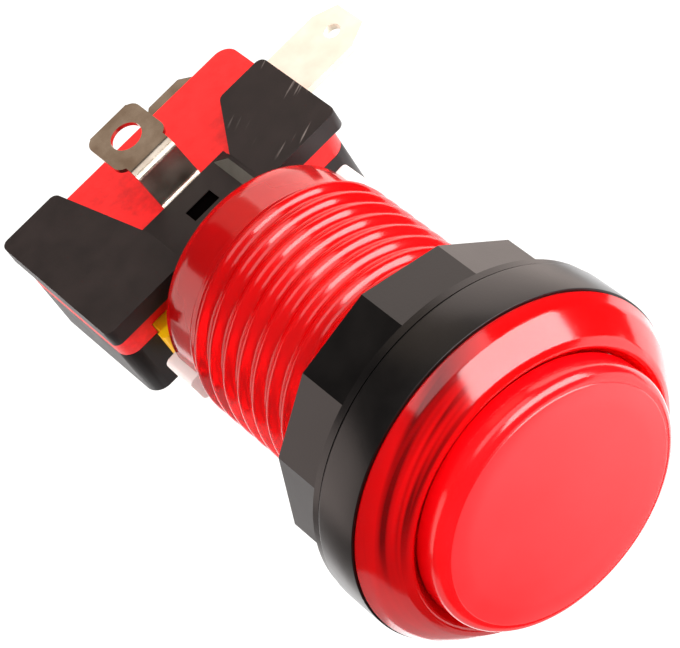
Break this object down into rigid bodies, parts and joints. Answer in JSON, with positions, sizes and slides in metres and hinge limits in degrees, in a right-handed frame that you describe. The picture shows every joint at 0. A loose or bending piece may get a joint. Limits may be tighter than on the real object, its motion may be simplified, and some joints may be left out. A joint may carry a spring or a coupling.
{
  "type": "illuminated arcade push button",
  "caption": "Round illuminated push button with a translucent red bezel and threaded barrel, a panel nut, and a lamp holder with a snap-action switch on its back.",
  "frame": {"origin": "centre of the bezel's back face, where the bezel sits on the panel", "axes": "+Z along the button axis out through the cap; the switch lies along X with its terminal tab toward -X; the eared plate of the lamp holder faces -Y"},
  "size_m": [0.0413, 0.0338, 0.067],
  "materials": {
    "red_clear": "clear red moulding, polished",
    "red_cap": "clear red moulding over a white head, fine matt face",
    "white_plastic": "plain white moulding",
    "spring_steel": "drawn wire",
    "black_nut": "black moulding, satin",
    "black_holder": "black moulding, satin",
    "plated_brass": "nickel plate, dulled",
    "lamp_clear": "clear moulding",
    "switch_black": "black moulding, satin",
    "switch_red": "red moulding, satin",
    "pin_yellow": "yellow moulding",
    "contact_metal": "spring bronze and silver contact faces"
  },
  "bodies": {
    "base": {"housing": "red_clear", "lamp_holder": "black_holder", "lamp_terminal_near": "plated_brass", "lamp_terminal_far": "plated_brass", "lamp_base": "white_plastic", "lamp_lens": "lamp_clear", "lamp_lead_near": "plated_brass", "lamp_lead_far": "plated_brass", "switch_base": "switch_black", "switch_cover": "switch_red", "terminal_com": "plated_brass", "terminal_no": "plated_brass", "fixed_contact": "contact_metal", "return_spring": "spring_steel"},
    "button": {"cap": "red_cap", "plunger": "white_plastic"},
    "actuator": {"switch_pin": "pin_yellow"},
    "contact_arm": {"blade": "contact_metal", "moving_contact": "contact_metal"},
    "ring": {"spacer_ring": "black_nut"},
    "panel_nut": {"nut": "black_nut"}
  },
  "joints": [
    {"name": "press", "type": "slide", "parent": "base", "child": "button", "axis": [0, 0, -1], "range_m": [0, 0.002], "stiffness_N_per_m": 400, "springref_m": -0.003, "deforming": ["return_spring"]},
    {"name": "actuator_slide", "type": "slide", "parent": "base", "child": "actuator", "axis": [0, 0, -1], "range_m": [0, 0.00201]},
    {"name": "arm_turn", "type": "hinge", "parent": "base", "child": "contact_arm", "pos_m": [0.0116, 0.0009, -0.04605], "axis": [0, -1, 0], "range_deg": [0, 1.65]},
    {"name": "ring_slide", "type": "slide", "parent": "base", "child": "ring", "axis": [0, 0, -1], "range_m": [0, 0.01681]},
    {"name": "nut_turn", "type": "hinge", "parent": "ring", "child": "panel_nut", "pos_m": [0, 0, 0], "axis": [0, 0, -1], "range_deg": [0, 2880]}
  ],
  "couplings": [
    {"joint": "actuator_slide", "follows": "press", "ratio": 1},
    {"joint": "arm_turn", "follows": "press", "rad_per_m": 14.3},
    {"joint": "ring_slide", "follows": "nut_turn", "m_per_rad": 0.00033423}
  ]
}
